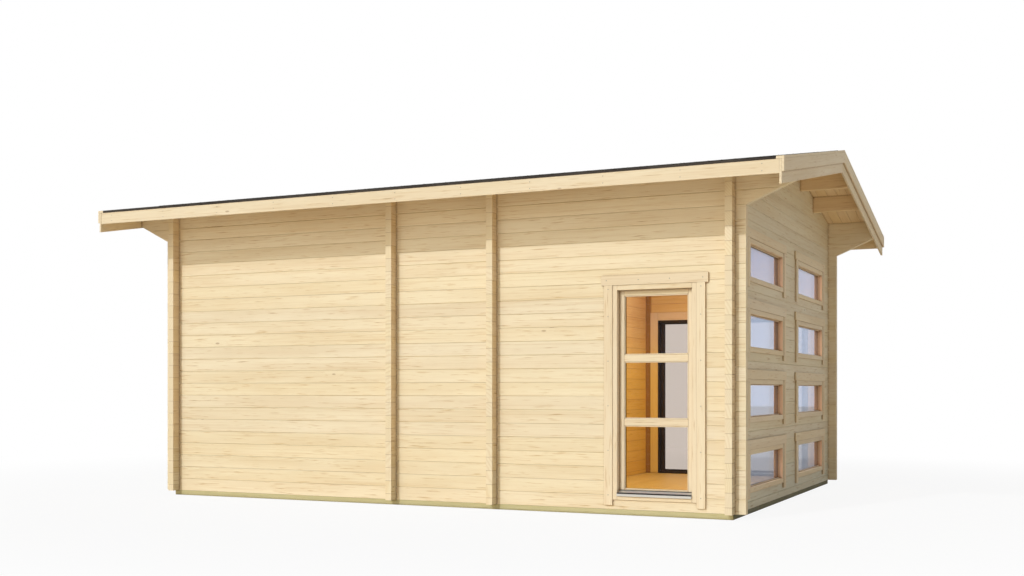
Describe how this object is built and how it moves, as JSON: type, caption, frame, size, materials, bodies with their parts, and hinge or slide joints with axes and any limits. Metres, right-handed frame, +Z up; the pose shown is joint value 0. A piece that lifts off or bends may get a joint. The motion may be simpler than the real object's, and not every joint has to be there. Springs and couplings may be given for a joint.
{
  "type": "log cabin",
  "caption": "Gabled timber log cabin with crossed log corners, a low felted roof on wide eaves, a tall window, stacked gable windows and a sliding glazed door.",
  "frame": {"origin": "middle of the cabin on the ground", "axes": "+X along the ridge towards the gable with windows, +Y towards the side with the sliding door, +Z up"},
  "size_m": [6.424, 5.096, 3.1841],
  "materials": {
    "log_wood": "planed raw spruce",
    "trim_wood": "planed raw spruce",
    "roof_wood": "planed raw spruce",
    "floor_wood": "planed raw spruce",
    "treated_wood": "pressure-treated, greenish",
    "roof_felt": "black bitumen felt",
    "glass": "clear",
    "sill_metal": "mill finish",
    "dark_metal": "satin anthracite"
  },
  "bodies": {
    "house": {"long_bearers": "treated_wood", "cross_bearers": "treated_wood", "floor_boards": "floor_wood", "back_wall": "log_wood", "front_wall": "log_wood", "right_gable_wall": "log_wood", "left_gable_wall": "log_wood", "left_cross_wall": "log_wood", "right_cross_wall": "log_wood", "purlins": "roof_wood", "back_roof_boards": "roof_wood", "front_roof_boards": "roof_wood", "back_roof_felt": "roof_felt", "front_roof_felt": "roof_felt", "ridge_felt": "roof_felt", "back_fascia": "trim_wood", "front_fascia": "trim_wood", "back_barge_boards": "trim_wood", "front_barge_boards": "trim_wood", "back_barge_trims": "trim_wood", "front_barge_trims": "trim_wood", "tall_window_frame": "trim_wood", "tall_window_sash": "trim_wood", "tall_window_glass": "glass", "tall_window_casing": "trim_wood", "tall_window_sill": "sill_metal", "small_window_frames": "trim_wood", "small_window_panes": "glass", "small_window_casings": "trim_wood", "door_threshold": "floor_wood", "door_jamb_lining": "trim_wood", "door_inner_casing": "trim_wood", "door_outer_casing": "trim_wood", "door_frame": "dark_metal", "fixed_panel_frame": "dark_metal", "fixed_panel_glass": "glass", "back_barge_caps": "trim_wood", "front_barge_caps": "trim_wood"},
    "sliding_panel": {"sliding_panel_frame": "dark_metal", "sliding_panel_glass": "glass", "sliding_panel_handle": "dark_metal"}
  },
  "joints": [
    {"name": "door_slide", "type": "slide", "parent": "house", "child": "sliding_panel", "axis": [-1, 0, 0], "range_m": [0, 0.793]}
  ]
}
